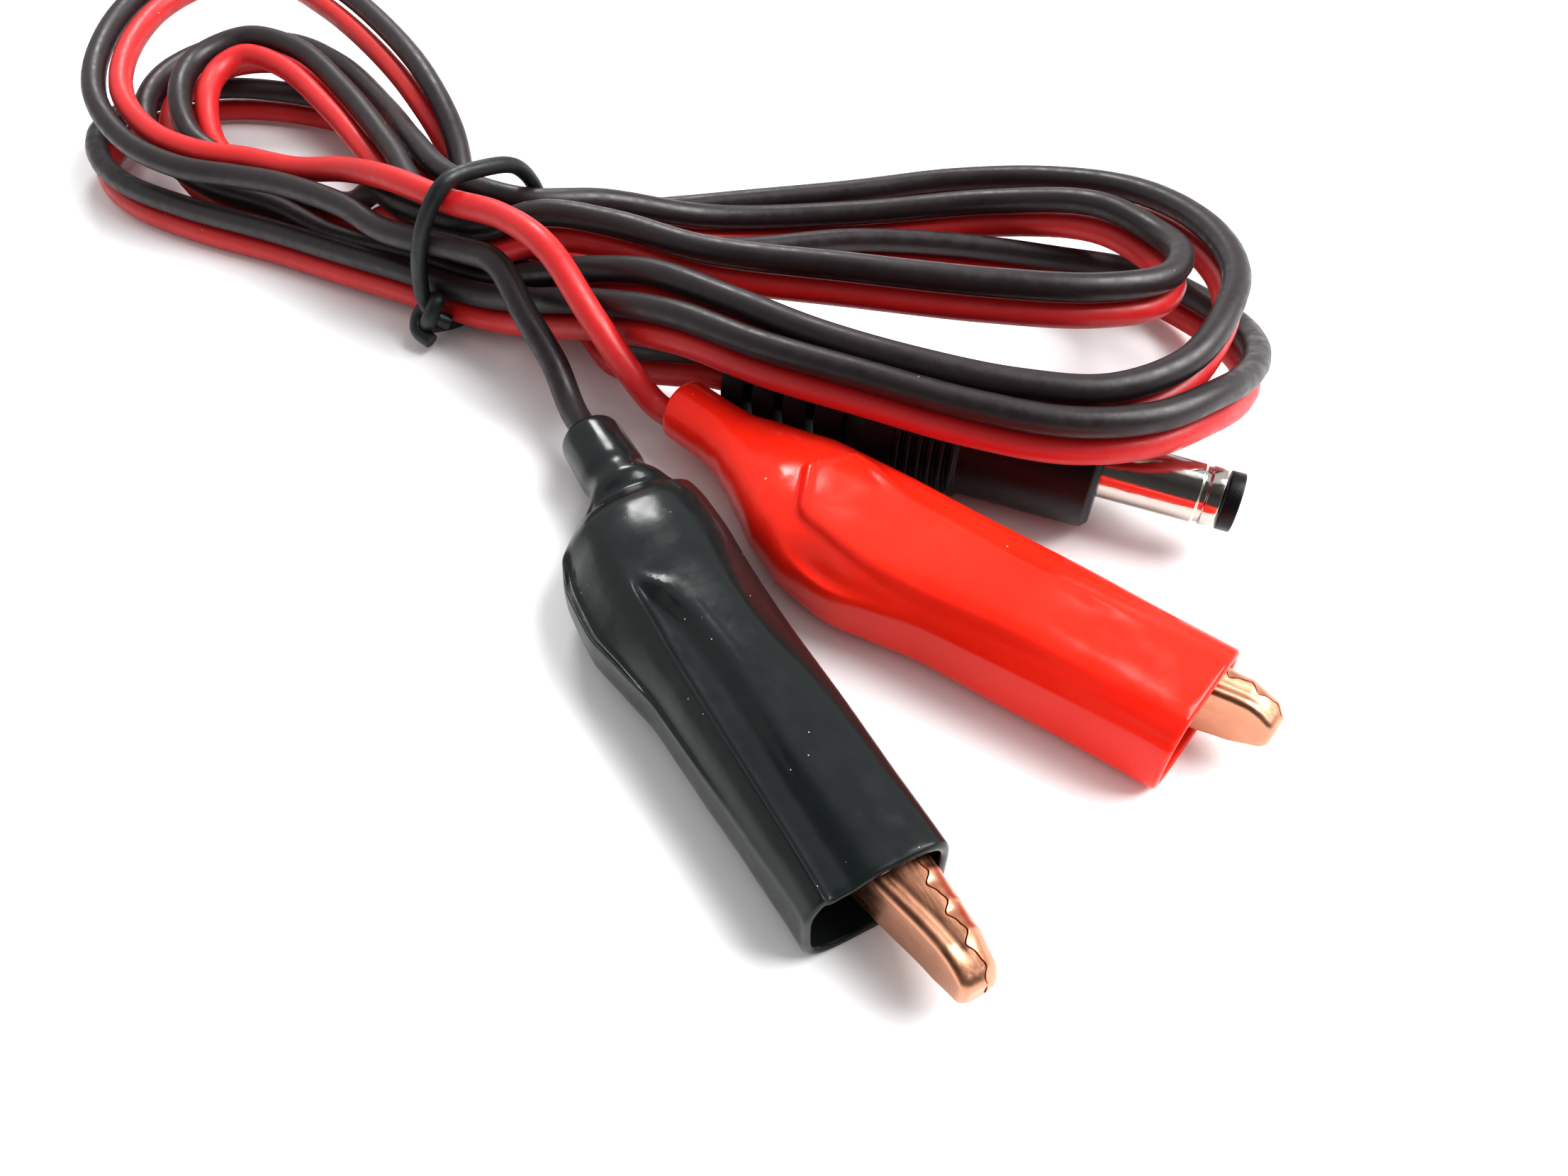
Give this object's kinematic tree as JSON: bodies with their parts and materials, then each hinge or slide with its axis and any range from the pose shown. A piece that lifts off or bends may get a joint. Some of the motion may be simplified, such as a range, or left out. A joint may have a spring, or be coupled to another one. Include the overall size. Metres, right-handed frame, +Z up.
{
  "type": "dc test lead",
  "caption": "Coiled two-core DC test lead: a coaxial barrel plug at one end, crocodile clips in soft black and red boots at the other, tied in a hank.",
  "frame": {"origin": "under the middle of the plug and the two clips, on the surface the lead lies on", "axes": "+Z up, -Y towards the clips' noses, +X towards the plug's tip"},
  "size_m": [0.1375, 0.1393, 0.0188],
  "materials": {
    "black_boot": "glossy soft PVC",
    "red_boot": "glossy soft PVC",
    "jaw_copper": "copper-plated pressed steel, satin",
    "steel": "bright spring steel",
    "bare_copper": "bare stranded copper",
    "plug_black": "moulded satin PVC",
    "nickel": "nickel-plated brass, polished",
    "insulator_black": "moulded plastic",
    "contact_tin": "tinned brass",
    "black_pvc": "satin PVC insulation",
    "red_pvc": "satin PVC insulation",
    "tie_black": "plastic-covered wire"
  },
  "bodies": {
    "lead": {"black_boot": "black_boot", "red_boot": "red_boot", "black_fixed_jaw": "jaw_copper", "red_fixed_jaw": "jaw_copper", "black_pivot_pin": "steel", "red_pivot_pin": "steel", "black_spring": "steel", "red_spring": "steel", "black_conductor_strands": "bare_copper", "red_conductor_strands": "bare_copper", "plug_strain_relief": "plug_black", "plug_body": "plug_black", "plug_barrel": "nickel", "plug_tip_insulator": "insulator_black", "plug_inner_insulator": "insulator_black", "plug_centre_contact": "contact_tin", "plug_sleeve_terminal": "contact_tin", "plug_tip_terminal": "contact_tin", "black_core": "black_pvc", "red_core": "red_pvc", "cable_tie": "tie_black"},
    "black_lever": {"black_moving_jaw": "jaw_copper"},
    "red_lever": {"red_moving_jaw": "jaw_copper"}
  },
  "joints": [
    {"name": "black_clip_hinge", "type": "hinge", "parent": "lead", "child": "black_lever", "pos_m": [-0.00885, -0.01419, 0.0049], "axis": [0, 0, -1], "range_deg": [0, 15], "stiffness_Nm_per_rad": 0.05, "springref_deg": -28.65, "deforming": ["black_spring"]},
    {"name": "red_clip_hinge", "type": "hinge", "parent": "lead", "child": "red_lever", "pos_m": [0.01002, 0.00002, 0.0049], "axis": [0, 0, -1], "range_deg": [0, 15], "stiffness_Nm_per_rad": 0.05, "springref_deg": -28.65, "deforming": ["red_spring"]}
  ]
}
